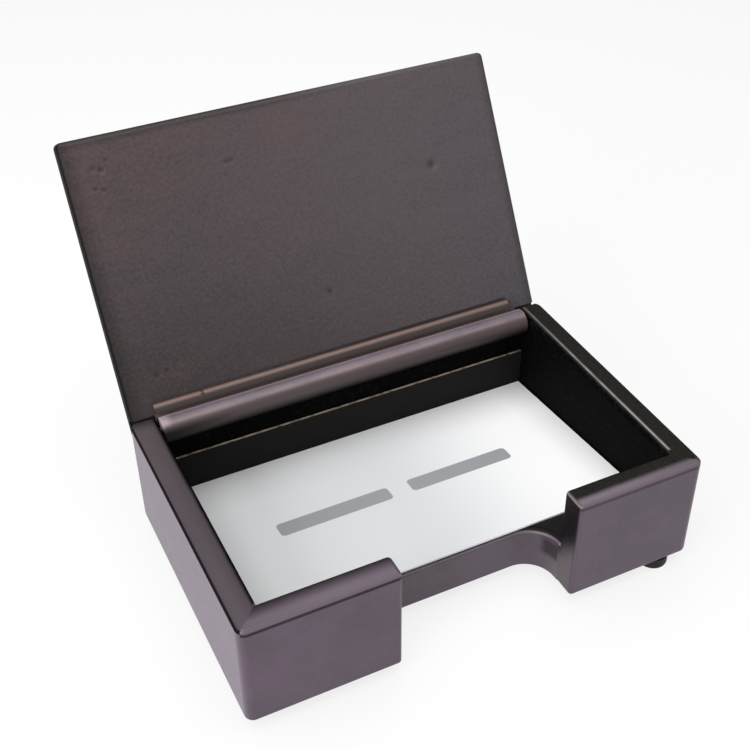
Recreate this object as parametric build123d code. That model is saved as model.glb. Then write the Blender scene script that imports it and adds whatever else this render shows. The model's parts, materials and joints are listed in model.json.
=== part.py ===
"""A lidded desk box for business cards: a walled box on rubber feet, with a lid on a pinned roll hinge."""
import os
from math import atan, cos, radians, sin, sqrt

from build123d import *

# Box walls, in millimetres
box_width = 106.0
box_depth = 67.7
wall_height = 26.7
wall_thickness = 6.0
back_thickness = 3.6
back_height = 20.8
front_corner_radius = 2.0
rear_corner_radius = 2.6
outer_edge_radius = 0.8
inner_edge_radius = 1.2
bottom_edge_radius = 0.9

# Thumb notch in the front wall, and the scoop behind it in the base
notch_width = 40.5
notch_offset = 1.4
notch_edge_radius = 0.9
scoop_depth = 13.2
scoop_corner_radius = 6.9
rim_radius = 0.9
scoop_edge_radius = 0.4

# Sloping floor and linings
floor_front_height = 10.4
floor_rear_height = 5.3
floor_lining_thickness = 0.3
floor_lining_setback = 1.6
back_lining_thickness = 0.6
back_lining_height = 15.6

# Card lying on the floor lining, with its gaps to the side walls and the back lining
card_depth = 50.0
card_thickness = 0.4
card_left_gap = 3.6
card_right_gap = 0.4
card_rear_gap = 0.2

# Lid
lid_thickness = 5.0
lid_overhang = 1.9
lid_side_inset = 0.65
lid_tail = 1.0
lid_edge_radius = 1.2
lid_face_edge_radius = 0.5
rebate_length = 3.3
rebate_depth = 1.7
open_angle = 119.4

# Hinge: the pivot lies below the wall tops and in front of the rear face
pivot_depth = 2.0
pivot_setback = 3.8
lid_gap = 0.3
roll_radius = 3.1
roll_edge_radius = 0.3
strip_width = 2.2
strip_thickness = 1.2
strip_edge_radius = 0.7
strip_reach = 5.85
strip_right_gap = 2.4
end_gap = 0.3

# Hinge pins, pressed into the roll and turning in the side walls
pin_radius = 0.9
pin_clearance = 0.05
pin_length = 12.0
pin_wall_length = 3.6
pin_end_gap = 0.2

# Rubber feet, each at its own distance from the faces beside it
foot_radius = 3.4
foot_height = 2.8
foot_edge_radius = 0.7
foot_side_inset = 6.9
front_right_foot_inset = 3.4
front_left_foot_inset = 7.0
rear_foot_inset = 7.0

# Reach of every cut past the face that it leaves by
overrun = 1.0

# Places along an edge where its position is read, as shares of its length
edge_shares = (0, 0.5, 1)
match_tolerance = 0.0001

# Places worked out from the sizes: the box stands on its feet, with its front face at zero depth
half_width = box_width / 2
inner_half_width = half_width - wall_thickness
bottom = foot_height
top = bottom + wall_height
back_face = box_depth - back_thickness
lining_face = back_face - back_lining_thickness
pivot_y = box_depth - pivot_setback
pivot_z = top - pivot_depth
lid_face = top + lid_gap
lean = radians(open_angle - 90)
notch_left = notch_offset - notch_width / 2
notch_right = notch_offset + notch_width / 2
inside = (-inner_half_width, inner_half_width)
rail_span = (end_gap - inner_half_width, inner_half_width - end_gap)
floor_fall = (floor_front_height - floor_rear_height) / (back_face - scoop_depth)


def block(x_span, y_span, z_span):
    """Square block between two values on each axis."""
    spans = (x_span, y_span, z_span)
    middle = [(low + high) / 2 for low, high in spans]
    size = [high - low for low, high in spans]
    return Pos(*middle) * Box(*size)


def across(outline, x_span):
    """Solid with one side-view outline, running across the box between two values of x."""
    face = Plane.YZ * make_face(outline)
    return Pos(X=x_span[0]) * extrude(face, x_span[1] - x_span[0])


def pivot_bar(x_span, radius):
    """Round bar on the hinge axis."""
    centre = (x_span[0] + x_span[1]) / 2
    return Pos(centre, pivot_y, pivot_z) * Rot(Y=90) * Cylinder(radius, x_span[1] - x_span[0])


def close(value, target):
    return abs(value - target) < match_tolerance


def lies(edge, test):
    """Whether the ends and the middle of an edge all pass a test of place."""
    return all(test(edge @ share) for share in edge_shares)


def floor_top(y):
    """Height of the bare floor at one depth: it falls towards the rear."""
    return bottom + floor_front_height - floor_fall * (y - scoop_depth)


def beside_open_lid(along, behind):
    """Side-view point measured from the pivot, along the open lid and towards its back."""
    y = pivot_y + along * sin(lean) + behind * cos(lean)
    z = pivot_z + along * cos(lean) - behind * sin(lean)
    return (y, z)


def swing_open(piece):
    """A piece of the lid, modelled closed, turned about the hinge axis."""
    return Pos(0, pivot_y, pivot_z) * Rot(X=-open_angle) * Pos(0, -pivot_y, -pivot_z) * piece


def footprint():
    """Block over the whole box with its upright corners rounded."""
    space = block((-half_width, half_width), (0, box_depth), (bottom, top))
    rows = space.edges().filter_by(Axis.Z).group_by(Axis.Y)
    space = fillet(rows[0], front_corner_radius)
    rear = [edge for edge in space.edges().filter_by(Axis.Z) if close((edge @ 0).Y, box_depth)]
    return fillet(rear, rear_corner_radius)


def plain_walls():
    """Side walls and notched front wall in one piece, with a ledge behind for the tail of the open lid."""
    rear_reach = pivot_depth + rebate_depth
    rear_top = (pivot_y + sqrt(rear_reach**2 - pivot_depth**2), top)
    ledge = -(lid_tail + lid_gap)
    ledge_reach = (box_depth - pivot_y - ledge * sin(lean)) / cos(lean)
    ledge_front = beside_open_lid(ledge, rear_reach)
    ledge_rear = beside_open_lid(ledge, ledge_reach)
    below = [(box_depth, bottom), (0, bottom), (0, top)]
    sides = Polyline(rear_top, ledge_front, ledge_rear, *below, close=True)
    walls = across(sides, (-half_width, half_width)) & footprint()
    full_height = (bottom - overrun, top + overrun)
    walls -= block(inside, (wall_thickness, box_depth + overrun), full_height)
    walls -= block((notch_left, notch_right), (-overrun, wall_thickness + overrun), full_height)
    return walls


def rounded_walls():
    """The walls with the edges of their notch, undersides and tops rounded."""
    def at_notch(point):
        return close(point.X, notch_left) or close(point.X, notch_right)

    def on_inner_face(point):
        return close(abs(point.X), inner_half_width) or close(point.Y, wall_thickness)

    def round_off(solid, radius, *tests):
        first, *others = tests
        edges = [edge for edge in solid.edges() if lies(edge, first)]
        return fillet([edge for edge in edges if not any(lies(edge, other) for other in others)], radius)

    walls = plain_walls()
    walls = round_off(walls, notch_edge_radius, lambda point: at_notch(point) and close(point.Y, 0))
    walls = round_off(
        walls,
        bottom_edge_radius,
        lambda point: close(point.Z, bottom),
        on_inner_face,
        lambda point: close(point.Y, box_depth),
    )
    walls = round_off(walls, outer_edge_radius, lambda point: close(point.Z, top), on_inner_face)
    return round_off(walls, inner_edge_radius, lambda point: close(point.Z, top) and on_inner_face(point))


def side_of_mitre(side):
    """Everything behind the mitre of one front corner, on the left (-1) or the right (1)."""
    outer = side * (half_width + overrun)
    inner = side * (half_width - wall_thickness - overrun)
    mitre_end = wall_thickness + overrun
    rear = box_depth + overrun
    plan = make_face(Polyline((outer, -overrun), (inner, mitre_end), (inner, rear), (outer, rear), close=True))
    return Pos(Z=bottom - overrun) * extrude(plan, wall_height + overrun + overrun)


def pin_hole(side):
    """Blind hole for one hinge pin in its side wall."""
    ends = (side * (inner_half_width - overrun), side * (inner_half_width + pin_wall_length + pin_end_gap))
    return pivot_bar(sorted(ends), pin_radius + pin_clearance)


def scoop(setback):
    """Space of the thumb scoop through the base, or the same space widened on every side."""
    width = (notch_left - setback, notch_right + setback)
    space = block(width, (-overrun, scoop_depth + setback), (bottom - overrun, top + overrun))
    corners = [edge for edge in space.edges().filter_by(Axis.Z) if close((edge @ 0).Y, scoop_depth + setback)]
    return fillet(corners, scoop_corner_radius + setback)


def base_panel():
    """Wedge-shaped board between the walls, with the scoop in its front edge."""
    front = (wall_thickness, bottom)
    rear = (back_face, bottom)
    rear_top = (back_face, floor_top(back_face))
    front_top = (wall_thickness, floor_top(wall_thickness))
    board = across(Polyline(front, rear, rear_top, front_top, close=True), inside) - scoop(0)

    def in_scoop(point):
        return notch_left - match_tolerance < point.X < notch_right + match_tolerance and point.Y < back_face

    rim = [edge for edge in board.edges() if lies(edge, lambda p: in_scoop(p) and close(p.Z, floor_top(p.Y)))]
    board = fillet(rim, rim_radius)
    foot = [edge for edge in board.edges() if lies(edge, lambda p: in_scoop(p) and close(p.Z, bottom))]
    return fillet(foot, scoop_edge_radius)


def back_wall():
    """Low rear wall under the hinge roll, with its upper edges rounded."""
    wall = block(inside, (back_face, box_depth), (bottom, bottom + back_height))
    upper = wall.edges().filter_by(Axis.X).group_by(Axis.Z)[-1]
    return fillet(upper, outer_edge_radius)


def floor_lining():
    """Sheet on the sloping floor, kept back from the rim of the scoop."""
    corners = [(wall_thickness, floor_top(wall_thickness)), (lining_face, floor_top(lining_face))]
    lifted = [(y, z + floor_lining_thickness) for y, z in reversed(corners)]
    return across(Polyline(*corners, *lifted, close=True), inside) - scoop(floor_lining_setback)


def back_lining():
    """Board against the back wall, standing on the base."""
    lining_top = bottom + back_lining_height
    foot = [(lining_face, floor_top(lining_face)), (back_face, floor_top(back_face))]
    return across(Polyline(*foot, (back_face, lining_top), (lining_face, lining_top), close=True), inside)


def card():
    """Card flat on the sloping floor lining, its rear edge just off the back lining."""
    left = card_left_gap - inner_half_width
    right = inner_half_width - card_right_gap
    card_width = right - left
    y = lining_face - card_rear_gap - card_depth / 2 * cos(atan(floor_fall))
    z = floor_top(y) + floor_lining_thickness
    on_floor = Plane(origin=((left + right) / 2, y, z), x_dir=(1, 0, 0), z_dir=(0, floor_fall, 1))
    return on_floor * Box(card_width, card_depth, card_thickness, align=(Align.CENTER, Align.CENTER, Align.MIN))


def foot(x, y):
    """Round rubber foot under the box."""
    pad = Pos(x, y) * Cylinder(foot_radius, foot_height, align=(Align.CENTER, Align.CENTER, Align.MIN))
    return fillet(pad.edges().group_by(Axis.Z)[0], foot_edge_radius)


def lid_panel():
    """Flat lid, a little narrower than the box and longer, with two rebates behind that clear the walls."""
    lid_top = lid_face + lid_thickness
    lid_half = half_width - lid_side_inset
    panel = block((-lid_half, lid_half), (-lid_overhang, pivot_y + lid_tail), (lid_face, lid_top))
    panel = fillet(panel.edges().filter_by(Axis.Z), lid_edge_radius)
    panel = fillet(panel.edges().group_by(Axis.Z)[-1], lid_edge_radius)
    panel = fillet(panel.edges().group_by(Axis.Z)[0], lid_face_edge_radius)
    length = (pivot_y - rebate_length, pivot_y + lid_tail + overrun)
    depth = (lid_face - overrun, lid_face + rebate_depth)
    for side in (-1, 1):
        width = (side * rail_span[1], side * (half_width + overrun))
        panel -= block(sorted(width), length, depth)
    return panel


def hinge_strip():
    """Narrow lath under the lid, its edge away from the hinge rounded."""
    front = pivot_y - strip_reach
    width = (rail_span[0], inner_half_width - strip_right_gap)
    strip = block(width, (front, front + strip_width), (lid_face - strip_thickness, lid_face))
    lower = strip.edges().filter_by(Axis.X).group_by(Axis.Z)[0]
    return fillet(lower.sort_by(Axis.Y)[0], strip_edge_radius)


def hinge_pin(side):
    """Steel pin across the gap between the roll and one side wall."""
    outer = inner_half_width + pin_wall_length
    return pivot_bar(sorted((side * outer, side * (outer - pin_length))), pin_radius)


def hinge_roll():
    """Dowel round the pivot, planed flat where it meets the lid and bored for the pins."""
    roll = fillet(pivot_bar(rail_span, roll_radius).edges().filter_by(GeomType.CIRCLE), roll_edge_radius)
    beside = (pivot_y - roll_radius - overrun, pivot_y + roll_radius + overrun)
    roll -= block((-half_width, half_width), beside, (lid_face, lid_face + roll_radius))
    bore_end = inner_half_width + pin_wall_length - pin_length - pin_end_gap
    for side in (-1, 1):
        roll -= pivot_bar(sorted((side * bore_end, side * half_width)), pin_radius)
    return roll


walls = rounded_walls()
left_side = side_of_mitre(-1)
right_side = side_of_mitre(1)
front_walls = (walls - left_side - right_side).solids().sort_by(Axis.X)
foot_x = half_width - foot_side_inset
rear_foot_y = box_depth - rear_foot_inset

pieces = {
    "base_panel": base_panel(),
    "left_wall": (walls & left_side) - pin_hole(-1),
    "right_wall": (walls & right_side) - pin_hole(1),
    "front_wall_left": front_walls[0],
    "front_wall_right": front_walls[1],
    "back_wall": back_wall(),
    "floor_lining": floor_lining(),
    "back_lining": back_lining(),
    "card": card(),
    "foot_front_left": foot(-foot_x, front_left_foot_inset),
    "foot_front_right": foot(foot_x, front_right_foot_inset),
    "foot_rear_left": foot(-foot_x, rear_foot_y),
    "foot_rear_right": foot(foot_x, rear_foot_y),
    "lid_panel": swing_open(lid_panel()),
    "hinge_strip": swing_open(hinge_strip()),
    "hinge_roll": swing_open(hinge_roll()),
    "hinge_pin_left": swing_open(hinge_pin(-1)),
    "hinge_pin_right": swing_open(hinge_pin(1)),
}

# The origin is on the desk, under the middle of the space between the front face and the back of the open lid
middle = pieces["lid_panel"].bounding_box().max.Y / 2
os.makedirs("parts", exist_ok=True)
for name, piece in pieces.items():
    export_step(Pos(Y=-middle) * piece, f"parts/{name}.step")
print("hinge axis at y", round(pivot_y - middle, 4), "z", round(pivot_z, 4))
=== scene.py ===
# %% [markdown]
# # A lacquered box for business cards
#
# The box stands open on a pale studio floor, with one card in its tray. Its wooden pieces come from the
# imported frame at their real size, in metres, and stay where they are. This lesson gives every piece its
# finish, fills two small hollows beside the thumb scoop, models the lid again with its small dents, and
# sets up the camera and the lamps.

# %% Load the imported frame
import json
from math import pi, radians

import bmesh
import bpy
from mathutils import Matrix, Quaternion, Vector


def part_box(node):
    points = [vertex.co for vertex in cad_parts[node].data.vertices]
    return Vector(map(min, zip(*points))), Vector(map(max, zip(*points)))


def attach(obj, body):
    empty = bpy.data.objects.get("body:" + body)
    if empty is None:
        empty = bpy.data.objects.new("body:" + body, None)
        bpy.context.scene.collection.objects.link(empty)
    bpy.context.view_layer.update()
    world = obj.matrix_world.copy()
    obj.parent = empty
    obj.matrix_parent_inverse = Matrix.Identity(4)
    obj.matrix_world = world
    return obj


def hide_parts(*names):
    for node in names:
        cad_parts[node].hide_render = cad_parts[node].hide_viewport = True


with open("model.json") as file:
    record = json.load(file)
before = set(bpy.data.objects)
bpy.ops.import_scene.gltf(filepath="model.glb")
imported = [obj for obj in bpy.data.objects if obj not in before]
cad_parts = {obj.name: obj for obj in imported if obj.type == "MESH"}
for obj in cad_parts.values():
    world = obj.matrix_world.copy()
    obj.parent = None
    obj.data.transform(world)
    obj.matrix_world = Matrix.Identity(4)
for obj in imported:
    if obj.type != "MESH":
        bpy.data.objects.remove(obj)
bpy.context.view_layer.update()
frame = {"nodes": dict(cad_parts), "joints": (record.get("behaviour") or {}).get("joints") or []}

# %% [markdown]
# The main places are read from the frame, so that a finish still fits if a piece changes. The inner faces
# of the walls are where the base panel ends, the thumb notch is the gap between the two front blocks, and
# the lid leans back by the range of its hinge.

# %% Places on the box
mm = 0.001

left_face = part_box("left_wall")[0].x
right_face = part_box("right_wall")[1].x
front_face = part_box("front_wall_left")[0].y
rear_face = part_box("back_wall")[1].y
wall_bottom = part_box("left_wall")[0].z
wall_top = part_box("left_wall")[1].z
inner_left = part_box("base_panel")[0].x
inner_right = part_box("base_panel")[1].x
inner_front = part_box("front_wall_left")[1].y
notch_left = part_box("front_wall_left")[1].x
notch_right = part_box("front_wall_right")[0].x
wall_thickness = inner_left - left_face

hinge = frame["joints"][0]
pivot = Vector(hinge["pos_m"])
open_angle = radians(hinge["range_deg"][1])
print("walls are", round(wall_thickness / mm, 2), "mm thick")
print("lid stands open by", hinge["range_deg"][1], "degrees")

# %% [markdown]
# The camera looks down on the box from the front left. Its direction, distance and lens were found by
# matching the straight edges of the box with the photograph, so they are values of this scene and not of
# the box.

# %% Camera
camera_azimuth = radians(-25.549)
camera_elevation = radians(38.035)
camera_roll = radians(-0.711)
camera_distance = 277.88 * mm
camera_aim = Vector((0, 0, 35.807 * mm))
camera_lens = 59.6
camera_near = 1 * mm

towards_camera = Vector((0, -1, 0))
towards_camera.rotate(Quaternion((1, 0, 0), -camera_elevation))
towards_camera.rotate(Quaternion((0, 0, 1), camera_azimuth))
bpy.ops.object.camera_add(location=camera_aim + towards_camera * camera_distance)
camera = bpy.context.object
camera.name = "camera"
camera.rotation_mode = "QUATERNION"
level_view = (-towards_camera).to_track_quat("-Z", "Y")
camera.rotation_quaternion = level_view @ Quaternion((0, 0, 1), camera_roll)
camera.data.lens = camera_lens
camera.data.clip_start = camera_near
bpy.context.scene.camera = camera
bpy.context.scene.view_settings.view_transform = "Standard"
print("camera stands at", [round(value / mm, 1) for value in camera.location], "mm")

# %% [markdown]
# Two soft lamps light the box: a wide one overhead and one on the left that makes that side the bright
# one. A lamp's power is worked out from the brightness that its face should have: a face of brightness 1
# looks as bright as white paper. Satin lacquer shows each lamp as a blurred patch, so their places decide
# where the wall tops, the hinge roll and the edges shine.

# %% Lamps
def softbox(name, place, aim, width, depth, brightness):
    """Rectangular lamp that faces a point. Its place, aim, width and depth are in millimetres."""
    bpy.ops.object.light_add(type="AREA", location=Vector(place) * mm)
    lamp = bpy.context.object
    lamp.name = name
    lamp.data.shape = "RECTANGLE"
    lamp.data.size = width * mm
    lamp.data.size_y = depth * mm
    lamp.data.energy = brightness * pi * width * mm * depth * mm
    lamp.rotation_mode = "QUATERNION"
    lamp.rotation_quaternion = (Vector(aim) * mm - lamp.location).to_track_quat("-Z", "Y")
    print(name, "gives", round(lamp.data.energy, 3), "W")


softbox("overhead_lamp", place=(-40, 0, 470), aim=(-40, 0, 30), width=600, depth=520, brightness=2.0)
softbox("left_lamp", place=(-620, -170, 330), aim=(0, 0, 30), width=640, depth=420, brightness=4.0)

# %% [markdown]
# Shader maths is easier to read as sums than as a list of nodes. A Socket is one output of a node: adding
# or multiplying two of them puts a Math node in the tree. Every other node comes from Shader.node, which
# takes the node's type, its settings and what goes into its sockets.

# %% Shader sums
class Socket:
    """One output of a node, which takes part in sums."""

    def __init__(self, shader, output):
        self.shader = shader
        self.output = output

    def __getitem__(self, name):
        return Socket(self.shader, self.output.node.outputs[name])

    def math(self, operation, *values):
        return self.shader.node("Math", {"operation": operation}, dict(enumerate(values)))

    def __add__(self, other):
        return self.math("ADD", self, other)

    def __sub__(self, other):
        return self.math("SUBTRACT", self, other)

    def __rsub__(self, other):
        return self.math("SUBTRACT", other, self)

    def __mul__(self, other):
        return self.math("MULTIPLY", self, other)

    def __truediv__(self, other):
        return self.math("DIVIDE", self, other)

    def __pow__(self, other):
        return self.math("POWER", self, other)

    def __abs__(self):
        return self.math("ABSOLUTE", self)

    def least(self, other):
        return self.math("MINIMUM", self, other)

    def most(self, other):
        return self.math("MAXIMUM", self, other)

    def angle(self, other):
        """Angle of a direction whose sine part is this value and whose cosine part is the other."""
        return self.math("ARCTAN2", self, other)

    __radd__ = __add__
    __rmul__ = __mul__


class Shader:
    """The node tree of a material, and the few kinds of step that the finishes are made of."""

    def __init__(self, name):
        self.material = bpy.data.materials.new(name)
        self.material.use_nodes = True
        self.tree = self.material.node_tree
        self.tree.nodes.clear()

    def node(self, kind, settings=None, inputs=None, output=0):
        made = self.tree.nodes.new("ShaderNode" + kind)
        for name, value in (settings or {}).items():
            setattr(made, name, value)
        for name, value in (inputs or {}).items():
            if isinstance(value, Socket):
                self.tree.links.new(value.output, made.inputs[name])
            else:
                made.inputs[name].default_value = value
        return Socket(self, made.outputs[output]) if made.outputs else None

    def place(self):
        """Position on the box, in metres."""
        return self.node("TexCoord", output="Object")

    def facing(self):
        """Direction that the surface faces, split into X, Y and Z."""
        return self.split(self.node("NewGeometry", output="Normal"))

    def split(self, vector):
        return self.node("SeparateXYZ", inputs={0: vector})

    def rise(self, value, low, high):
        """0 below one value and 1 above the other, with a soft step between them."""
        settings = {"interpolation_type": "SMOOTHSTEP"}
        return self.node("MapRange", settings, {"Value": value, "From Min": low, "From Max": high})

    def fall(self, value, low, high):
        """1 below one value and 0 above the other, with a soft step between them."""
        return 1 - self.rise(value, low, high)

    def band(self, value, low, high, soft):
        """1 between two values and 0 outside them, with soft sides."""
        return self.rise(value, low - soft, low + soft) * self.fall(value, high - soft, high + soft)

    def blend(self, factor, first, second):
        """A colour between two others."""
        return self.node("Mix", {"data_type": "RGBA"}, {0: factor, 6: first, 7: second}, output=2)

    def noise(self, vector, size, detail=2.0, roughness=0.5):
        """Soft random pattern, from 0 to 1, whose features have about the given size in metres."""
        inputs = {"Vector": vector, "Scale": 1 / size, "Detail": detail, "Roughness": roughness}
        return self.node("TexNoise", {}, inputs)

    def stretch(self, vector, *scales):
        """Position scaled along each axis, so that a pattern on it is drawn out."""
        return self.node("Mapping", {}, {"Vector": vector, "Scale": scales})

    def relief(self, height):
        """Surface direction changed by a height in metres."""
        return self.node("Bump", {}, {"Strength": 1.0, "Distance": 1.0, "Height": height})

    def surface(self, **inputs):
        """Principled surface. Socket names are written with underscores for spaces."""
        named = {name.replace("_", " "): value for name, value in inputs.items()}
        return self.node("BsdfPrincipled", {}, named)

    def done(self, surface):
        self.node("OutputMaterial", {}, {"Surface": surface})
        return self.material


def colour(red, green, blue):
    """Shader colour from the 0 to 255 values that a screen shows."""
    def light(value):
        share = value / 255
        return share / 12.92 if share <= 0.04045 else ((share + 0.055) / 1.055) ** 2.4

    return (light(red), light(green), light(blue), 1)


print("a middle grey of 128 is", round(colour(128, 128, 128)[0], 3), "in a shader")

# %% [markdown]
# The floor is pale and plain. The camera and the reflections in the lacquer see it mostly as clean white
# paper, through the Light Path node, but a share of its own lit surface stays, so the box keeps its
# shadow.

# %% Floor and surroundings
floor_size = 4.0
floor_grey = colour(240, 240, 240)
white = (1, 1, 1, 1)
paper_share = 0.8
room_brightness = 0.36

bpy.ops.object.select_all(action="DESELECT")
bpy.ops.mesh.primitive_plane_add(size=floor_size)
floor = bpy.context.object
floor.name = "studio_floor"

paper = Shader("studio_paper")
rays = paper.node("LightPath")
seen = rays["Is Camera Ray"].most(rays["Is Glossy Ray"]).most(rays["Is Transmission Ray"])
lit_paper = paper.node("BsdfDiffuse", {}, {"Color": floor_grey})
white_paper = paper.node("Emission", {}, {"Color": white, "Strength": 1.0})
paper_mix = paper.node("MixShader", {}, {0: seen * paper_share, 1: lit_paper, 2: white_paper})
floor.data.materials.append(paper.done(paper_mix))

room = bpy.data.worlds.new("studio_room")
room.use_nodes = True
room.node_tree.nodes["Background"].inputs["Color"].default_value = white
room.node_tree.nodes["Background"].inputs["Strength"].default_value = room_brightness
bpy.context.scene.world = room
print("floor and room are ready, and", round(1 - paper_share, 2), "of the shadow shows")

# %% [markdown]
# The lacquer is a dark plum brown with a satin shine. Its colour is clouded, its surface has the fine
# unevenness of sprayed paint, and it is rubbed through to copper where the box is handled. A painted
# picture could give the same look, but noise stays sharp at every distance and has no seams. All of that
# is one function, and each piece gives it a tint and masks: where it is worn to copper, where a painted
# highlight lightens it to a pale tone, and where painted shade and dirt darken it. In all the finishes a
# pair of values says where a soft step begins and ends, and a third value is the softness of a band's
# sides.

# %% Lacquer
plum = colour(90, 73, 90)
dark_plum = colour(78, 64, 78)
copper = colour(160, 112, 90)
# The pale tone is the colour of painted highlights on rounded edges.
highlight_pale = colour(172, 158, 162)
# The grime tone is the colour of painted shade, and of a little dirt.
grime_and_shade = colour(24, 21, 21)

cloud_size = 14 * mm
fleck_size = 1.0 * mm
fleck_share = 0.4
cloud_step = (0.5, 0.9)
peel_size = 0.8 * mm
peel_height = 0.012 * mm
peel_roughness = 0.14
wave_size = 7 * mm
wave_height = 0.03 * mm
satin_roughness = 0.26
satin_shine = 0.45


def clouded(shader, here, dark, light):
    """Colour that drifts between two tones, with fine flecks."""
    clouds = shader.noise(here, cloud_size, detail=4.0, roughness=0.6)
    flecks = shader.noise(here, fleck_size, detail=4.0, roughness=0.65)
    return shader.blend(shader.rise(clouds + flecks * fleck_share, *cloud_step), dark, light)


def lacquer(shader, here, tint, worn=None, painted_highlight=None, shade_and_dirt=None, shape=None, shine=satin_shine):
    """Satin lacquer. The masks run from 0 to 1, and shape is an added height in metres."""
    if worn:
        tint = shader.blend(worn, tint, copper)
    # Painted highlight: the mask lightens the lacquer towards the pale tone.
    if painted_highlight:
        tint = shader.blend(painted_highlight, tint, highlight_pale)
    # Painted shade, with a little dirt: the mask darkens the lacquer towards near black.
    if shade_and_dirt:
        tint = shader.blend(shade_and_dirt, tint, grime_and_shade)
    peel = shader.noise(here, peel_size, detail=2.0)
    waves = shader.noise(here, wave_size, detail=1.0)
    height = peel * peel_height + waves * wave_height
    if shape:
        height = height + shape
    return shader.surface(
        Base_Color=tint,
        Roughness=peel * peel_roughness + satin_roughness,
        Normal=shader.relief(height),
        Specular_IOR_Level=shine,
    )


print("lacquer has clouds of", round(cloud_size / mm), "mm and flecks of", round(fleck_size / mm), "mm")

# %% [markdown]
# The black of the tray is a second, matt surface that a mask lays over the lacquer. It is a surface of
# its own and not only a colour, because it shines far less than lacquer. Several finishes also lay it
# where it stands for shade, as painted shade. Pale dust lies on it in random grains, and its level faces
# are painted lighter than its upright ones, which is painted light. The helper dress puts a finish on
# pieces of the frame.

# %% Black paint
paint_and_shade_black = colour(5, 5, 5)
soot_dust_and_light = colour(38, 37, 34)
dust_size = 0.9 * mm
dust_height = 0.03 * mm
dust_step = (0.45, 1.0)
level_painted_light = 0.4
level_faces = (0.9, 0.98)
soot_roughness = 0.5
dust_roughness = 0.3
soot_shine = 0.02


def blackened(shader, here, paint, under):
    """Matt black over another surface, where a mask says so: paint, and in some finishes painted shade."""
    dust = shader.noise(here, dust_size, detail=5.0, roughness=0.7)
    level = shader.rise(shader.facing()["Z"], *level_faces)
    # Random dust grains, and painted light that makes level faces lighter than upright ones.
    tint = shader.blend(shader.rise(dust + level * level_painted_light, *dust_step), paint_and_shade_black, soot_dust_and_light)
    black = shader.surface(
        Base_Color=tint,
        Roughness=dust * dust_roughness + soot_roughness,
        Normal=shader.relief(dust * dust_height),
        Specular_IOR_Level=soot_shine,
    )
    return shader.node("MixShader", {}, {0: paint, 1: under, 2: black})


def dress(material, *nodes):
    """Give CAD nodes a finish."""
    for name in nodes:
        mesh = frame["nodes"][name].data
        mesh.materials.clear()
        mesh.materials.append(material)
    print(material.name, "is on", ", ".join(nodes))


print("dust grains are about", round(dust_size / mm, 1), "mm wide")

# %% [markdown]
# The four walls share one finish with different amounts of black: the tray was painted black by hand, and
# the paint creeps over the inner edges onto the wall tops, most of all on the right. Its measures come
# first, each with a name, so that one can be tuned without the others. Those that end in faces are parts
# of the surface's direction: 1 is straight along an axis, 0 is square to it.

# %% Measures of the wall finish
rear_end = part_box("left_wall")[1].y
lit_lilac = colour(93, 74, 95)
notch_shade_plum = colour(65, 52, 63)
edge_highlight = colour(122, 108, 118)
left_lit_share = 0.7
top_lit_share = 0.8
edge_highlight_share = 0.6

top_faces = (0.6, 0.9)
left_faces = (0.7, 0.95)
rear_faces = (0.3, 0.7)
under_faces = (0.3, 0.7)
edge_faces = (0.3, 0.985, 0.012)
round_faces = (0.1, 0.9, 0.1)
rear_zone = (rear_end - 4 * mm, rear_end - 3 * mm)
rear_stretch = (rear_end - 40 * mm, rear_end)
corner_stretch = (inner_right - 14 * mm, right_face - 2 * mm)

brush_size = 5 * mm
brush_reach = 0.25 * mm
edge_reflection_heights = (0.75 * mm, 1.45 * mm, 0.3 * mm)
outer_reach = (-5.0 * mm, -4.5 * mm)
outer_widening = 0.5 * mm
corner_zone = (rear_end - 5 * mm, rear_end - 1 * mm)
corner_shade = 0.75
crown_radius = 6.5 * mm
crown_line = 3.0 * mm
print("side walls end", round(rear_end / mm, 2), "mm behind the middle")

# %% [markdown]
# Two marks have a function of their own. In the thumb notch soot darkens the upper part of the sides,
# below a rim with a painted highlight. A thin pale line along the inner edge of the right wall is a painted
# highlight of its rounded edge, fainter towards the rear.

# %% Marks on the walls
notch_reach = (0.4 * mm, 0.9 * mm)
smoke_tilt = 0.2
smoke_brush = 0.2 / mm
smoke_step = (0.4, 0.75)
smoke_start = (0.01, 0.1)
smoke_strength = 0.86
rim_faces = (0.35, 0.9, 0.1)
rim_highlight = 0.5
line_outer = (-2.15 * mm, -1.6 * mm)
line_inner = (-1.35 * mm, -1.15 * mm)
line_start = (0.2 * mm, 0.8 * mm)
line_faces = (0.3, 0.6)
line_patch = 3 * mm
line_least = 0.5
line_fade = 0.4


def notch_masks(shader, spot, facing, brush):
    """Masks of the notch: its sides, the soot on them and the rim on top."""
    beside_notch = (notch_left - spot["X"]).most(spot["X"] - notch_right)
    side = shader.fall(beside_notch, *notch_reach)
    height_share = (spot["Z"] - wall_bottom) / (wall_top - wall_bottom)
    behind_front = (spot["Y"] - front_face) / wall_thickness
    smoke = shader.rise(height_share + behind_front * smoke_tilt + brush * smoke_brush, *smoke_step)
    smoke = smoke * shader.rise(behind_front, *smoke_start) * smoke_strength
    return side, smoke, side * shader.band(facing["Z"], *rim_faces)


def highlight_line(shader, here, from_sides, from_front, facing, towards_rear):
    """Mask of the painted highlight along the inner edge of a side wall."""
    line = shader.rise(from_sides, *line_outer) * shader.fall(from_sides, *line_inner)
    line = line * shader.rise(from_front, *line_start) * shader.rise(facing["Z"], *line_faces)
    patches = shader.noise(here, line_patch) * (1 - line_least) + line_least
    return line * (1 - towards_rear * line_fade) * patches


print("soot in the notch is", round(smoke_strength * 100), "percent black")
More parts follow.
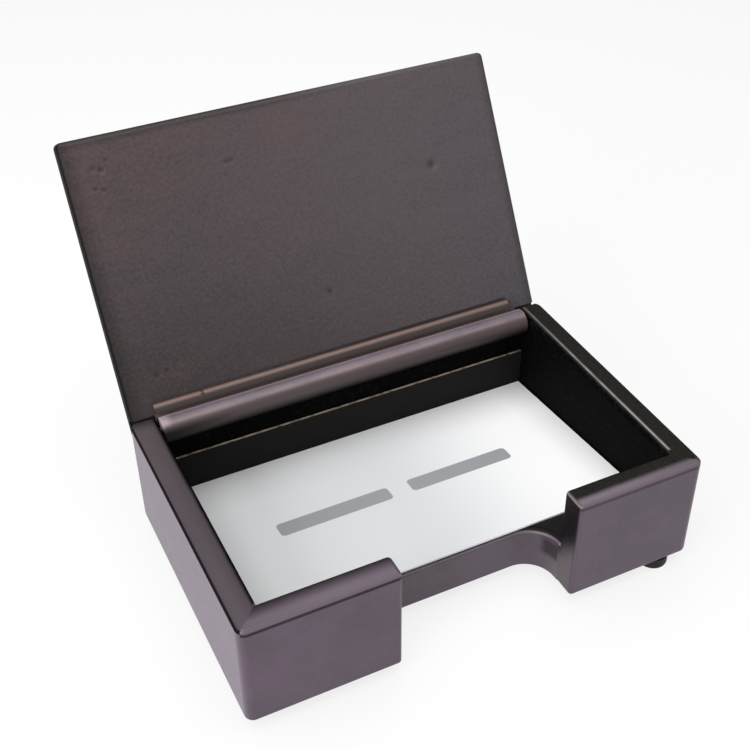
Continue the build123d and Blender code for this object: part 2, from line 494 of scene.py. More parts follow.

# %% [markdown]
# The wall tops are slightly crowned. A height that falls off on both sides of the wall's middle line gives
# that in the finish, because the pieces of the frame keep their own meshes. A dark line along the outer top
# edge is a painted dark reflection of the rounded edge. The tops get tones of their own, which are painted
# light, and these change: those of the sides towards the rear, those of the front blocks towards the
# corners of the box.

# %% Walls
def wall_finish(name, side_spray, front_spray, soft, line, top, in_front=False, highlight_edge=False):
    """Lacquer for one wall. The black reaches over its inner edges by the two distances."""
    shader = Shader(name)
    here = shader.place()
    spot = shader.split(here)
    facing = shader.facing()
    from_sides = (spot["X"] - inner_left).least(inner_right - spot["X"])
    from_front = spot["Y"] - inner_front
    inside = from_sides.least(from_front)
    towards_rear = shader.rise(spot["Y"], *rear_stretch)
    on_top = shader.rise(facing["Z"], *top_faces)
    on_left = shader.rise(facing["X"] * -1, *left_faces)

    brush = (shader.noise(here, brush_size, detail=4.0) - 0.5) * (2 * brush_reach)
    reach = (from_sides + side_spray).least(from_front + front_spray)
    on_rear = shader.rise(facing["Y"], *rear_faces) * shader.rise(spot["Y"], *rear_zone)
    paint = shader.rise(reach + brush, 0.0, soft) * (1 - on_rear)
    paint = paint * shader.fall(facing["Z"] * -1, *under_faces)
    notch_side, smoke, notch_rim = notch_masks(shader, spot, facing, brush)
    paint = paint * (1 - notch_side) + notch_side * smoke
    # Painted highlight on the rounded rim of the notch.
    painted_highlight = notch_rim * rim_highlight
    # Painted highlight along the inner edge of the right wall.
    if highlight_edge:
        painted_highlight = painted_highlight.most(highlight_line(shader, here, from_sides, from_front, facing, towards_rear))
    paint = paint * (1 - painted_highlight)
    if in_front:
        # Painted dark reflection: a dark line on and just under the rounded outer top edge.
        edge_reflection = shader.band(wall_top - spot["Z"], *edge_reflection_heights)
        top_light_change = shader.rise(abs(spot["X"]), *corner_stretch)
    else:
        edge_reflection = shader.band(facing["Z"], *round_faces)
        top_light_change = towards_rear
    edge_reflection = edge_reflection * shader.fall(inside - towards_rear * outer_widening, *outer_reach)
    # Painted shade at the rear ends of the tops, next to the lid.
    rear_corner = shader.rise(spot["Y"], *corner_zone) * on_top
    paint = paint.most(edge_reflection * line).most(rear_corner * corner_shade)

    across = inside + (wall_thickness - crown_line)
    crown = across * across / (-2 * crown_radius) * on_top
    tint = clouded(shader, here, dark_plum, plum)
    # Painted light: faces turned to the left lamp get a lighter lilac copy of the lacquer.
    tint = shader.blend(on_left * left_lit_share, tint, lit_lilac)
    # Painted shade: the notch side that faces left is darkened to a deeper plum.
    tint = shader.blend(notch_side * on_left, tint, notch_shade_plum)
    # Painted light: each top gets its own tones for how it catches the lamps, lightest on the front right
    # block.
    tint = shader.blend(on_top * top_lit_share, tint, shader.blend(top_light_change, *top))
    # Painted highlight on the rounded front edge of the front blocks.
    if in_front:
        tint = shader.blend(shader.band(facing["Z"], *edge_faces) * edge_highlight_share, tint, edge_highlight)
    under = lacquer(shader, here, tint, painted_highlight=painted_highlight, shape=crown)
    return shader.done(blackened(shader, here, paint, under))


print("wall tops bend with a radius of", round(crown_radius / mm, 1), "mm")

# %% [markdown]
# Each wall has its own amounts: how far the black comes over its edges, how softly it ends, how strong
# its painted dark edge line is, and the two tones of its top, which are painted light. On the front blocks
# the distance from the sides plays no part, so it gets a value longer than any wall is thick.

# %% The four walls
side_top = (colour(66, 58, 63), colour(71, 63, 63))
front_left_top = (colour(86, 73, 84), colour(70, 58, 69))
front_right_top_highlight = (colour(112, 100, 108), colour(100, 88, 96))
past_wall = 20 * mm

left_lacquer = wall_finish(
    "left_wall_lacquer", side_spray=1.5 * mm, front_spray=0.6 * mm, soft=1.2 * mm, line=0.95, top=side_top)
right_lacquer = wall_finish(
    "right_wall_lacquer", side_spray=5.95 * mm, front_spray=4.4 * mm, soft=0.5 * mm, line=0.8,
    top=side_top, highlight_edge=True)
front_left_lacquer = wall_finish(
    "front_left_lacquer", side_spray=past_wall, front_spray=3.2 * mm, soft=3.0 * mm, line=0.75,
    top=front_left_top, in_front=True)
front_right_lacquer = wall_finish(
    "front_right_lacquer", side_spray=past_wall, front_spray=4.7 * mm, soft=1.7 * mm, line=0.45,
    top=front_right_top_highlight, in_front=True)
dress(left_lacquer, "left_wall")
dress(right_lacquer, "right_wall")
dress(front_left_lacquer, "front_wall_left")
dress(front_right_lacquer, "front_wall_right")

# %% [markdown]
# The base panel shows its lacquer only in the thumb scoop. Its top is black, so the paint follows the
# upward faces, which is simpler than a mask of the scoop's outline, and the rounded rim between them
# keeps the lacquer, with a painted highlight on it. The right end of the scoop, in the corner against the
# side of the notch, is darkened with black as painted shade. The back wall is black on the side of the
# tray.

# %% Base and back wall
scoop_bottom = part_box("base_panel")[0].z
scoop_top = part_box("base_panel")[1].z
scoop_dark = colour(73, 61, 72)
scoop_light = colour(85, 71, 85)
scoop_rim_faces = (0.45, 0.75, 0.08)
scoop_highlight = 0.25
floor_faces = (0.85, 0.95)
end_shade_heights = (scoop_top - 6 * mm, scoop_top - 1.5 * mm, 1.0 * mm)
end_shade_places = (notch_right - 1.8 * mm, notch_right - 0.6 * mm)
end_shade_strength = 0.6
back_black = (0.4 * mm, 1.2 * mm)


def base_finish():
    shader = Shader("base_lacquer")
    here = shader.place()
    spot = shader.split(here)
    facing = shader.facing()
    rim = shader.band(facing["Z"], *scoop_rim_faces)
    # Painted shade in the corner at the right end of the scoop.
    scoop_end_shade = shader.rise(spot["X"], *end_shade_places) * shader.band(spot["Z"], *end_shade_heights)
    paint = shader.rise(facing["Z"], *floor_faces).most(scoop_end_shade * end_shade_strength)
    tint = clouded(shader, here, scoop_dark, scoop_light)
    # Painted highlight on the rounded rim of the scoop.
    under = lacquer(shader, here, tint, painted_highlight=rim * scoop_highlight)
    return shader.done(blackened(shader, here, paint, under))


def back_wall_finish():
    shader = Shader("back_wall_lacquer")
    here = shader.place()
    before_rear = rear_face - shader.split(here)["Y"]
    under = lacquer(shader, here, clouded(shader, here, dark_plum, plum))
    return shader.done(blackened(shader, here, shader.rise(before_rear, *back_black), under))


dress(base_finish(), "base_panel")
dress(back_wall_finish(), "back_wall")

# %% [markdown]
# New pieces are cut and rounded by a few helpers. One selects parts of a mesh by their place, one takes a
# cutter's shape out of a piece with a Boolean modifier, and one makes a block of a given size, which is
# moved and scaled in its mesh, so that the object itself stays at the origin.

# %% Modelling helpers
smooth_angle = radians(40)


def block(low, high):
    """Box-shaped piece between two corners."""
    bpy.ops.object.select_all(action="DESELECT")
    bpy.ops.mesh.primitive_cube_add(size=1, location=(low + high) / 2)
    made = bpy.context.object
    made.scale = high - low
    bpy.ops.object.transform_apply(location=True, rotation=False, scale=True)
    return made


def select_where(mesh, test, kind):
    """Select the faces or edges whose middle passes a test, in edit mode."""
    bpy.ops.mesh.select_all(action="DESELECT")
    shape = bmesh.from_edit_mesh(mesh)
    chosen = 0
    for item in getattr(shape, kind):
        corners = [vertex.co for vertex in item.verts]
        if test(sum(corners, Vector()) / len(corners)):
            item.select_set(True)
            chosen += 1
    shape.select_flush_mode()
    bmesh.update_edit_mesh(mesh)
    return chosen


def cut_away(piece, cutter):
    """Take a cutter's shape out of a piece, and remove the cutter."""
    bpy.context.view_layer.objects.active = piece
    cut = piece.modifiers.new("cut", "BOOLEAN")
    cut.operation = "DIFFERENCE"
    cut.object = cutter
    bpy.ops.object.modifier_apply(modifier=cut.name)
    bpy.data.objects.remove(cutter)
    bpy.ops.object.select_all(action="DESELECT")
    piece.select_set(True)


print("edges sharper than", round(smooth_angle / radians(1)), "degrees stay sharp")

# %% [markdown]
# The rear edges of the notch are rounded, which leaves a small hollow beside each end of the scoop. On
# the real box lacquer fills it, so that the scoop runs smoothly into the side of the notch. A block as
# wide as the rounding, with its upper and lower edges rounded like those of the scoop, is cut by a
# cylinder of the rounding's radius: what is left of it is the filling.

# %% Lacquer in the corners of the notch
same_plane = 0.001 * mm
same_place = 0.01 * mm
notch_depths = [
    vertex.co.y for vertex in frame["nodes"]["front_wall_right"].data.vertices
    if abs(vertex.co.x - notch_right) < same_plane
]
hollow = inner_front - max(notch_depths)
rim_round = 0.9 * mm
foot_round = 0.5 * mm
cylinder_gap = 0.01 * mm
fill_height = scoop_top - scoop_bottom
fill_middle = (scoop_top + scoop_bottom) / 2


def corner_fill(name, face, side, material):
    """Lacquer in the hollow behind one side of the notch. The side is 1 on the right and -1 on the left."""
    ends = sorted((face, face + side * hollow))
    low = Vector((ends[0], inner_front - hollow, scoop_bottom))
    high = Vector((ends[1], inner_front, scoop_top))
    fill = block(low, high)
    fill.name = name
    bpy.ops.object.mode_set(mode="EDIT")
    bpy.ops.mesh.select_mode(type="EDGE")
    for height, radius in ((scoop_top, rim_round), (scoop_bottom, foot_round)):
        corner = Vector((face, inner_front - hollow / 2, height))
        select_where(fill.data, lambda middle: (middle - corner).length < same_place, "edges")
        bpy.ops.mesh.bevel(offset=radius, segments=6, affect="EDGES")
    bpy.ops.object.mode_set(mode="OBJECT")
    axis = Vector((face + side * hollow, inner_front - hollow, fill_middle))
    bpy.ops.mesh.primitive_cylinder_add(
        vertices=64, radius=hollow + cylinder_gap, depth=fill_height * 2, location=axis)
    cut_away(fill, bpy.context.object)
    bpy.ops.object.shade_smooth_by_angle(angle=smooth_angle)
    fill.data.materials.append(material)
    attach(fill, "box")
    print(name, "has", len(fill.data.polygons), "faces and fills", round(hollow / mm, 2), "mm")


corner_fill("notch_fill_left", notch_left, -1, front_left_lacquer)
corner_fill("notch_fill_right", notch_right, 1, front_right_lacquer)

# %% [markdown]
# The lid of the frame stands open. Turning its corners back about the hinge gives the size of the closed
# board, and the rebates in its rear corners. A place on the lid is given by its distance across from the
# middle and along from the hinge. The dents also have a radius and a depth.

# %% Places on the lid
turn_back = Matrix.Rotation(open_angle, 3, "X")


def closed(node):
    """Corners of a CAD node, relative to the hinge, with the lid closed."""
    return [turn_back @ (vertex.co - pivot) for vertex in frame["nodes"][node].data.vertices]


def extent(points):
    """Lowest and highest values of a set of points."""
    columns = list(zip(*points))
    return Vector([min(values) for values in columns]), Vector([max(values) for values in columns])


lid_low, lid_high = extent(closed("lid_panel"))
strip_low, strip_high = extent(closed("hinge_strip"))
lid_size = lid_high - lid_low
lid_middle = (lid_low + lid_high) / 2 + pivot
inside_height = pivot.z + lid_low.z
rail_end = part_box("hinge_roll")[1].x
rebate_points = [point for point in closed("lid_panel") if abs(abs(point.x) - rail_end) < same_place]
rebate_front = min(point.y for point in rebate_points)
rebate_top = max(point.z for point in rebate_points)
print("lid is", [round(value / mm, 2) for value in lid_size], "mm")
print("its rebates start", round(-rebate_front / mm, 2), "mm in front of the hinge")

lid_dents = (
    (32.8 * mm, 42.6 * mm, 2.0 * mm, 0.42 * mm),
    (-16.7 * mm, 54.1 * mm, 0.9 * mm, 0.10 * mm),
    (-15.9 * mm, 54.2 * mm, 1.0 * mm, 0.10 * mm),
    (-15.1 * mm, 54.3 * mm, 0.9 * mm, 0.10 * mm),
    (0.3 * mm, 19.8 * mm, 1.5 * mm, 0.14 * mm),
    (-45.8 * mm, 58.9 * mm, 1.1 * mm, 0.24 * mm),
    (-44.2 * mm, 58.4 * mm, 1.3 * mm, 0.26 * mm),
    (-42.9 * mm, 60.2 * mm, 0.8 * mm, 0.16 * mm),
    (-46.4 * mm, 54.6 * mm, 1.0 * mm, 0.18 * mm),
    (-44.6 * mm, 54.1 * mm, 1.0 * mm, 0.20 * mm),
    (-43.9 * mm, 12.0 * mm, 1.3 * mm, 0.20 * mm),
    (-41.5 * mm, 12.5 * mm, 1.1 * mm, 0.16 * mm),
)

# %% [markdown]
# The lid is a board whose inside has a few dents and pits. It is modelled closed, because its faces are
# then level and easy to select. A block of its size gets an inset on its inner face, so that the rounded
# edges have room, and the inset is divided into small faces that proportional moves can press in.

# %% Lid board
inset_width = 2.6 * mm
edge_round = 1.2 * mm
first_cuts = 100
on_face = 0.1 * mm

lid_board = block(lid_low + pivot, lid_high + pivot)
lid_board.name = "lid_board"
board = lid_board.data


def on_edge(middle):
    """True for the middle of an edge of the block, which lies on two of its sides."""
    offset = middle - lid_middle
    sides = [abs(abs(offset[axis]) - lid_size[axis] / 2) < on_face for axis in range(3)]
    return sum(sides) == 2


def on_inset(middle):
    """True for a face within the inset."""
    near_x = abs(middle.x - lid_middle.x) < lid_size.x / 2 - inset_width
    near_y = abs(middle.y - lid_middle.y) < lid_size.y / 2 - inset_width
    return near_x and near_y and abs(middle.z - inside_height) < same_place


bpy.ops.object.mode_set(mode="EDIT")
bpy.ops.mesh.select_mode(type="FACE")
select_where(board, lambda middle: abs(middle.z - inside_height) < on_face, "faces")
bpy.ops.mesh.inset(thickness=inset_width)
bpy.ops.mesh.select_mode(type="EDGE")
rounded = select_where(board, on_edge, "edges")
bpy.ops.mesh.bevel(offset=edge_round, segments=5, affect="EDGES")
bpy.ops.mesh.select_mode(type="FACE")
for cuts in (first_cuts, 1):
    select_where(board, on_inset, "faces")
    bpy.ops.mesh.subdivide(number_cuts=cuts)
print("lid has", rounded, "rounded edges and", len(bmesh.from_edit_mesh(board).faces), "faces")

# %% [markdown]
# Each dent is pressed in from one vertex with proportional editing, which carries its neighbours along.
# Sculpting would do too, but a list of dents gives the same lid every time. Two blocks cut the rebates
# that leave room for the side walls.

# %% Dents and rebates
overrun = 1 * mm

bpy.ops.mesh.select_mode(type="VERT")
for across, along, radius, depth in lid_dents:
    target = Vector((across, pivot.y - along, inside_height))
    shape = bmesh.from_edit_mesh(board)
    nearest = min(shape.verts, key=lambda vertex: (vertex.co - target).length_squared)
    bpy.ops.mesh.select_all(action="DESELECT")
    nearest.select_set(True)
    bmesh.update_edit_mesh(board)
    bpy.ops.transform.translate(
        value=(0, 0, depth),
        use_proportional_edit=True,
        proportional_edit_falloff="SMOOTH",
        proportional_size=radius,
    )
bpy.ops.object.mode_set(mode="OBJECT")

for side in (-1, 1):
    ends = sorted((side * rail_end, side * (lid_high.x + overrun)))
    low = Vector((ends[0], rebate_front, lid_low.z - overrun))
    high = Vector((ends[1], lid_high.y + overrun, rebate_top))
    cut_away(lid_board, block(pivot + low, pivot + high))
print("lid has", len(lid_dents), "dents and now", len(board.polygons), "faces")

# %% [markdown]
# Then the whole board turns open about the hinge. Without a window the rotate operator turns the other
# way, so its angle is positive here. The board rides on the lid's body and takes the place of the plain
# lid.

# %% Opening the lid
bpy.ops.object.mode_set(mode="EDIT")
bpy.ops.mesh.select_all(action="SELECT")
bpy.ops.transform.rotate(value=open_angle, orient_axis="X", center_override=pivot)
bpy.ops.object.mode_set(mode="OBJECT")
bpy.ops.object.shade_smooth_by_angle(angle=smooth_angle)
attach(lid_board, "lid")
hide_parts("lid_panel")

board_low, board_high = extent([vertex.co for vertex in board.vertices])
print("open lid runs from", board_low[:], "to", board_high[:])

# %% [markdown]
# The lid, the strip and the roll are painted in the lid's own directions: a Mapping node of type Texture
# turns the position back about the hinge, as if the lid were closed, so distances run along and across
# the board. The lid is browner and rusty towards its free end and its left side. It is painted paler in the
# narrow gap between the strip and the roll, a painted light against the shade there, and painted dark along
# its edges, in a painted shadow above the strip and in the dents, which is painted shade. These are the
# measures of its marks.

# %% Measures of the lid's finish
lid_brown = colour(84, 75, 78)
lid_cool = colour(87, 81, 85)
lid_shade = colour(58, 53, 54)
lid_rust = colour(97, 73, 70)
gap_painted_light = colour(132, 110, 106)

streak_size = 5 * mm
streak_stretch = (0.4, 1, 1)
streak_share = 0.35
grain_size = 0.8 * mm
grain_share = 2.2
lump_size = 1.2 * mm
lump_height = 0.09 * mm
lid_shine = 0.3
cool_across = (-20 * mm, 45 * mm)
light_across = (-65 * mm, 40 * mm)
light_along = (0 * mm, 45 * mm)
across_share = 0.75
along_share = 0.45
cool_loss = 0.3

rust_across = (-50 * mm, -5 * mm)
rust_along = (34 * mm, 64 * mm)
rust_step = (0.7, 1.8)
rust_patches = (-0.3, 0.3)
rust_strength = 0.55
end_rust_across = (-8 * mm, 4 * mm, 8 * mm)
end_rust_along = (50 * mm, 60 * mm)
strip_rust_across = (-44 * mm, -32 * mm, 5 * mm)
strip_rust_along = (7 * mm, 13 * mm, 4 * mm)
strip_rust_share = 0.8

inner_layer = (lid_low.z + 0.5 * mm, lid_low.z + 1.0 * mm)
strip_width = (strip_low.x, strip_high.x, 0.3 * mm)
strip_shadow = (strip_low.y - 0.75 * mm, strip_low.y + 0.2 * mm, 0.2 * mm)
strip_shadow_across = (-40 * mm, 20 * mm)
strip_shadow_least = 0.25
strip_shadow_more = 0.5
gap_start = (strip_high.y - 0.1 * mm, strip_high.y + 0.1 * mm)
gap_light_strength = 0.9
pit_step = (0.1, 0.8)
pit_shade = 0.45

end_fade_across = (-10 * mm, 25 * mm)
end_fade_share = 0.85
free_end_shade = (1.0 * mm, 2.6 * mm)
free_end_shade_share = 0.5
right_edge_shade = (0.6 * mm, 3.2 * mm)
right_edge_shade_share = 0.3
left_black = (0.1 * mm, 1.3 * mm)
left_black_share = 0.5
left_haze = (0.2 * mm, 4.6 * mm)
left_haze_share = 0.4
end_black = (0.1 * mm, 1.2 * mm)
end_black_share = 0.5
right_black = (0.1 * mm, 1.0 * mm)
right_black_share = 0.45
print("lid's inner face lies", round(-lid_low.z / mm, 2), "mm under the hinge")

# %% [markdown]
# Three functions make the masks of the lid: the rust, the painted shade and the black of the edges, which
# is painted shade as well. A fourth puts them together with the streaks and the grain of its lacquer.

# %% Lid finish
def on_lid(shader):
    """Position relative to the closed lid's hinge: Y runs towards the hinge and Z away from the tray."""
    inputs = {"Vector": shader.place(), "Location": pivot, "Rotation": (-open_angle, 0, 0)}
    return shader.node("Mapping", {"vector_type": "TEXTURE"}, inputs)


def rusty(shader, spot, along, pattern):
    """Mask of the rust: in the far left, in the middle of the free end and beside the strip."""
    near_left = shader.fall(spot["X"], *rust_across)
    rust = shader.rise(near_left + shader.rise(along, *rust_along), *rust_step)
    rust = rust.most(shader.band(spot["X"], *end_rust_across) * shader.rise(along, *end_rust_along))
    by_strip = shader.band(spot["X"], *strip_rust_across) * shader.band(along, *strip_rust_along)
    return rust.most(by_strip * strip_rust_share) * shader.rise(pattern, *rust_patches)


def painted_lid_shade(shader, here, spot, end_fade, at_strip):
    """Mask of the painted shade: along the free end and the right edge, a painted shadow above the strip,
    and in the dents.
    """
    shade_and_dirt = shader.fall(spot["Y"] - lid_low.y, *free_end_shade) * free_end_shade_share * end_fade
    shade_and_dirt = shade_and_dirt.most(shader.fall(lid_high.x - spot["X"], *right_edge_shade) * right_edge_shade_share)
    strength = shader.rise(spot["X"], *strip_shadow_across) * strip_shadow_more + strip_shadow_least
    shade_and_dirt = shade_and_dirt.most(shader.band(spot["Y"], *strip_shadow) * at_strip * strength)
    for across, along, radius, depth in lid_dents:
        pit = (across, -along, lid_low.z)
        away = shader.node("VectorMath", {"operation": "DISTANCE"}, {0: here, 1: pit}, "Value")
        shade_and_dirt = shade_and_dirt.most(shader.fall(away / radius, *pit_step) * pit_shade)
    return shade_and_dirt


def black_edges(shader, spot, end_fade):
    """Mask of painted shade, in black, along the left, the free end and the right of the lid."""
    from_left = spot["X"] - lid_low.x
    left = shader.fall(from_left, *left_black) * left_black_share
    left = left + shader.fall(from_left, *left_haze) * left_haze_share
    end = shader.fall(spot["Y"] - lid_low.y, *end_black) * end_black_share * end_fade
    right = shader.fall(lid_high.x - spot["X"], *right_black) * right_black_share
    return left.most(end).most(right)


def lid_finish():
    shader = Shader("lid_lacquer")
    here = on_lid(shader)
    spot = shader.split(here)
    along = spot["Y"] * -1
    drawn_out = shader.stretch(here, *streak_stretch)
    streaks = shader.noise(drawn_out, streak_size, detail=4.0, roughness=0.6) - 0.5
    grain = shader.noise(here, grain_size, detail=5.0, roughness=0.8) - 0.5
    cool = shader.rise(spot["X"], *cool_across)
    lit = shader.rise(spot["X"], *light_across) * across_share
    lit = lit + shader.rise(along, *light_along) * (along_share - cool * cool_loss)
    lit = lit + streaks * streak_share + grain * grain_share
    tint = shader.blend(lit, lid_shade, shader.blend(cool, lid_brown, lid_cool))
    rust = rusty(shader, spot, along, streaks + grain)
    tint = shader.blend(rust * rust_strength, tint, lid_rust)
    at_strip = shader.band(spot["X"], *strip_width) * shader.fall(spot["Z"], *inner_layer)
    # Painted light: the gap between strip and roll is lightened against the shade that falls there.
    in_gap = shader.rise(spot["Y"], *gap_start) * at_strip
    tint = shader.blend(in_gap * gap_light_strength, tint, gap_painted_light)
    end_fade = 1 - shader.rise(spot["X"], *end_fade_across) * end_fade_share
    # Painted shade along the edges, above the strip and in the dents.
    shade_and_dirt = painted_lid_shade(shader, here, spot, end_fade, at_strip)
    lumps = shader.noise(here, lump_size, detail=3.0, roughness=0.7) * lump_height
    under = lacquer(shader, here, tint, shade_and_dirt=shade_and_dirt, shape=lumps, shine=lid_shine)
    # Painted shade in black along the lid's edges.
    return shader.done(blackened(shader, here, black_edges(shader, spot, end_fade), under))


lid_board.data.materials.append(lid_finish())
print("lid board is finished")

# %% [markdown]
# The strip at the hinge is rubbed through to copper along its far edge, which a hand touches, and has a
# dark nick there. Its tones follow one another from that edge to the roll: a rose band just behind the edge
# is a painted highlight of the rounding, and its side next to the roll is darkened as painted shade in the
# groove.

# %% Strip
rose_highlight = colour(116, 99, 94)
strip_edge = colour(92, 70, 62)
strip_brown = colour(70, 60, 59)
strip_shade = colour(72, 62, 60)
rose_highlight_step = (0.1 * mm, 0.45 * mm)
brown_step = (0.7 * mm, 1.1 * mm)
shade_step = (1.5 * mm, 2.0 * mm)
strip_rub_size = 1.5 * mm
strip_rub_stretch = (0.3, 1, 1)
strip_rub_reach = 0.3 * mm
strip_worn = (0.15 * mm, 0.4 * mm)
strip_worn_share = 0.25
strip_groove_shade = (strip_high.y - 0.8 * mm, strip_high.y - 0.2 * mm)
strip_groove_shade_share = 0.35
nick_place = -35.3 * mm
nick_width = (0.2 * mm, 0.6 * mm)
nick_depth = (0.6 * mm, 1.2 * mm)
nick_dirt = 0.8


def strip_finish():
    shader = Shader("strip_lacquer")
    here = on_lid(shader)
    spot = shader.split(here)
    rub = shader.noise(shader.stretch(here, *strip_rub_stretch), strip_rub_size, detail=3.0)
    from_edge = spot["Y"] - strip_low.y
    # Painted highlight: a rose band on the rounded far edge of the strip.
    tint = shader.blend(shader.rise(from_edge, *rose_highlight_step), strip_edge, rose_highlight)
    tint = shader.blend(shader.rise(from_edge, *brown_step), tint, strip_brown)
    tint = shader.blend(shader.rise(from_edge, *shade_step), tint, strip_shade)
    worn = shader.fall(from_edge + rub * strip_rub_reach, *strip_worn) * strip_worn_share
    # Painted shade in the groove between the strip and the roll.
    shade_and_dirt = shader.rise(spot["Y"], *strip_groove_shade) * strip_groove_shade_share
    nick = shader.fall(abs(spot["X"] - nick_place), *nick_width) * shader.fall(from_edge, *nick_depth)
    shade_and_dirt = shade_and_dirt.most(nick * nick_dirt)
    return shader.done(lacquer(shader, here, tint, worn=worn, shade_and_dirt=shade_and_dirt))


dress(strip_finish(), "hinge_strip")

# %% [markdown]
# The roll is a dowel, painted by the angle round its axis, which needs no unwrapping and has no seam in
# sight. A copper line is rubbed along it where a hand touches it. Above that line it is plum, with copper
# rims, a painted highlight at its left end, and a painted light where it meets the strip, against the shade
# there. Below the line it turns brown and is then painted black towards the tray, which is painted shade
# on its lower side.

# %% Roll
roll_low, roll_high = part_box("hinge_roll")
rub_angle = radians(-122)
roll_dark = colour(90, 79, 88)
roll_light = colour(106, 94, 102)
roll_brown = colour(88, 75, 76)
roll_top_light = colour(150, 134, 140)
roll_shine = 0.6
roll_rub_size = 1.5 * mm
roll_rub_stretch = (0.2, 1, 1)
roll_line = (rub_angle - 0.1, rub_angle + 0.1, 0.08)
roll_line_patches = (0.3, 0.6)
roll_line_share = 0.3
upper_part = (rub_angle - radians(5), rub_angle + radians(25))
top_part = (radians(-174), radians(-158))
roll_top_light_share = 0.6
rim_width = (0.1 * mm, 0.5 * mm)
rim_share = 0.6
spot_width = (0.6 * mm, 3.0 * mm)
spot_share = 0.6
brown_part = (rub_angle - radians(2), rub_angle + radians(18))
brown_shade = 0.2
black_part = (rub_angle + radians(35), rub_angle + radians(95))
black_shade = 0.75
left_stretch = (-46 * mm, -18 * mm)
left_part = (rub_angle, rub_angle + radians(45))
left_shade = 0.8


def roll_finish():
    shader = Shader("roll_lacquer")
    here = on_lid(shader)
    spot = shader.split(here)
    turn = spot["Z"].angle(spot["Y"])
    rub = shader.noise(shader.stretch(here, *roll_rub_stretch), roll_rub_size, detail=3.0)
    line = shader.band(turn, *roll_line) * shader.rise(rub, *roll_line_patches) * roll_line_share
    from_left = spot["X"] - roll_low.x
    from_ends = from_left.least(roll_high.x - spot["X"])
    upper = shader.fall(turn, *upper_part)
    rims = shader.fall(from_ends, *rim_width) * upper * rim_share
    # Painted highlight at the left end of the roll.
    left_highlight = shader.fall(from_left, *spot_width) * upper * spot_share
    # Painted shade: the lower side of the roll turns dark and then black towards the tray.
    paint = shader.rise(turn, *brown_part) * brown_shade + shader.rise(turn, *black_part) * black_shade
    near_left = shader.fall(spot["X"], *left_stretch)
    paint = paint.most(near_left * shader.rise(turn, *left_part) * left_shade)
    tint = clouded(shader, here, roll_dark, roll_light)
    tint = shader.blend(1 - upper, tint, roll_brown)
    # Painted light where the roll meets the strip, against the shade there.
    tint = shader.blend(shader.fall(turn, *top_part) * roll_top_light_share, tint, roll_top_light)
    under = lacquer(shader, here, tint, worn=line.most(rims), painted_highlight=left_highlight, shine=roll_shine)
    return shader.done(blackened(shader, here, paint, under))


dress(roll_finish(), "hinge_roll")

# %% [markdown]
# The tray is lined with black paper, and the board at its back shows a raw pale edge on top. The feet are
# black rubber and the hinge pins steel wire. All of these lie in shadow, so a tone, a grain and a little
# relief are enough.

# %% Linings, feet and pins
lining_tones = (colour(12, 11, 11), colour(30, 27, 26))
raw_board = colour(190, 172, 150)
raw_faces = (0.6, 0.9)
raw_patch = 2 * mm
raw_patch_step = (0.2, 0.6)
fibre_size = 0.5 * mm
fibre_height = 0.03 * mm
fibre_roughness = 0.2
lining_roughness = 0.65
lining_shine = 0.15
rubber_tones = (colour(14, 13, 13), colour(30, 28, 28))
rubber_grain = 0.6 * mm
rubber_height = 0.02 * mm
rubber_grain_roughness = 0.2
rubber_roughness = 0.5
rubber_shine = 0.3
steel_tones = (colour(58, 54, 52), colour(92, 86, 82))
steel_grain = 0.2 * mm
steel_stretch = (0.1, 1, 1)
drawn_roughness = 0.2
steel_roughness = 0.45


def lining_finish(name, raw_edge):
    shader = Shader(name)
    here = shader.place()
    fibres = shader.noise(here, fibre_size, detail=4.0, roughness=0.7)
    tint = shader.blend(fibres, *lining_tones)
    if raw_edge:
        bare = shader.rise(shader.facing()["Z"], *raw_faces)
        bare = bare * shader.rise(shader.noise(here, raw_patch, detail=3.0), *raw_patch_step)
        tint = shader.blend(bare, tint, raw_board)
    return shader.done(shader.surface(
        Base_Color=tint,
        Roughness=fibres * fibre_roughness + lining_roughness,
        Normal=shader.relief(fibres * fibre_height),
        Specular_IOR_Level=lining_shine,
    ))


def rubber_finish():
    shader = Shader("foot_rubber")
    grain = shader.noise(shader.place(), rubber_grain, detail=3.0)
    return shader.done(shader.surface(
        Base_Color=shader.blend(grain, *rubber_tones),
        Roughness=grain * rubber_grain_roughness + rubber_roughness,
        Normal=shader.relief(grain * rubber_height),
        Specular_IOR_Level=rubber_shine,
    ))


def steel_finish():
    shader = Shader("pin_steel")
    drawn = shader.noise(shader.stretch(shader.place(), *steel_stretch), steel_grain)
    tint = shader.blend(drawn, *steel_tones)
    roughness = drawn * drawn_roughness + steel_roughness
    return shader.done(shader.surface(Base_Color=tint, Metallic=1.0, Roughness=roughness))


dress(lining_finish("floor_lining_paper", raw_edge=False), "floor_lining")
dress(lining_finish("back_lining_board", raw_edge=True), "back_lining")
dress(rubber_finish(), "foot_front_left", "foot_front_right", "foot_rear_left", "foot_rear_right")
dress(steel_finish(), "hinge_pin_left", "hinge_pin_right")

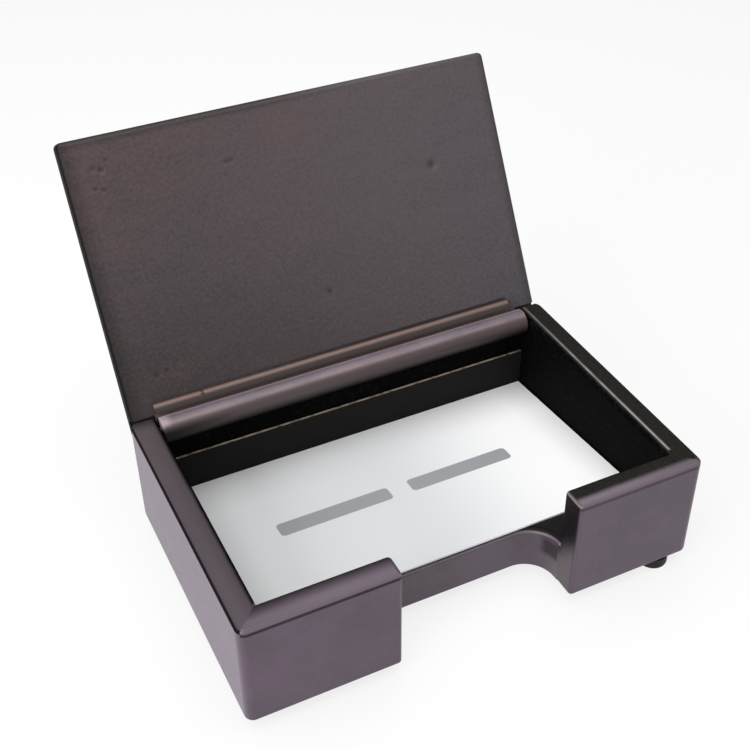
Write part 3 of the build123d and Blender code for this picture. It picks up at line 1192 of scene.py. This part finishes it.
# %% [markdown]
# The card is smooth paper. Its colour is painted greyer towards its left end, which is painted shade, and a
# little lighter towards its rear edge, a painted light against the shade that falls there. It carries two
# plain grey bars. Thin sheets could make them, but ink has no thickness, so each is a rounded rectangle
# that the material draws from the distance to its edge.

# %% Card
card_low, card_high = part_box("card")
card_left_shade = colour(215, 217, 218)
card_middle_shade = colour(212, 214, 216)
card_right = colour(248, 248, 248)
card_rear_light = colour(252, 252, 252)
middle_part = (0.1, 0.45)
right_part = (0.45, 0.92)
rear_part = (card_high.y - 14 * mm, card_high.y)
rear_light_share = 0.6
card_faces = (0.5, 0.8)
card_grain = 0.25 * mm
card_grain_height = 0.003 * mm
card_grain_roughness = 0.1
card_roughness = 0.5
card_shine = 0.3
ink_grey = colour(150, 152, 156)
ink_edge = 0.1 * mm
bar_height = 4.4 * mm
bar_line = -12.5 * mm
bar_spans = ((-30 * mm, -2.5 * mm), (2.5 * mm, 28.5 * mm))
bar_round = 1.0 * mm


def card_finish():
    shader = Shader("card_paper")
    here = shader.place()
    spot = shader.split(here)
    along = (spot["X"] - card_low.x) / (card_high.x - card_low.x)
    # Painted shade: the card is greyer towards its left end.
    tint = shader.blend(shader.rise(along, *middle_part), card_left_shade, card_middle_shade)
    tint = shader.blend(shader.rise(along, *right_part), tint, card_right)
    # Painted light: the card is lighter towards its rear edge, against the shade there.
    tint = shader.blend(shader.rise(spot["Y"], *rear_part) * rear_light_share, tint, card_rear_light)
    upward = shader.rise(shader.facing()["Z"], *card_faces)
    for start, end in bar_spans:
        beyond_x = (abs(spot["X"] - (start + end) / 2) - ((end - start) / 2 - bar_round)).most(0.0)
        beyond_y = (abs(spot["Y"] - bar_line) - (bar_height / 2 - bar_round)).most(0.0)
        from_core = (beyond_x * beyond_x + beyond_y * beyond_y) ** 0.5
        ink = shader.fall(from_core, bar_round - ink_edge, bar_round + ink_edge) * upward
        tint = shader.blend(ink, tint, ink_grey)
    fibres = shader.noise(here, card_grain, detail=3.0)
    return shader.done(shader.surface(
        Base_Color=tint,
        Roughness=fibres * card_grain_roughness + card_roughness,
        Normal=shader.relief(fibres * card_grain_height),
        Specular_IOR_Level=card_shine,
    ))


dress(card_finish(), "card")
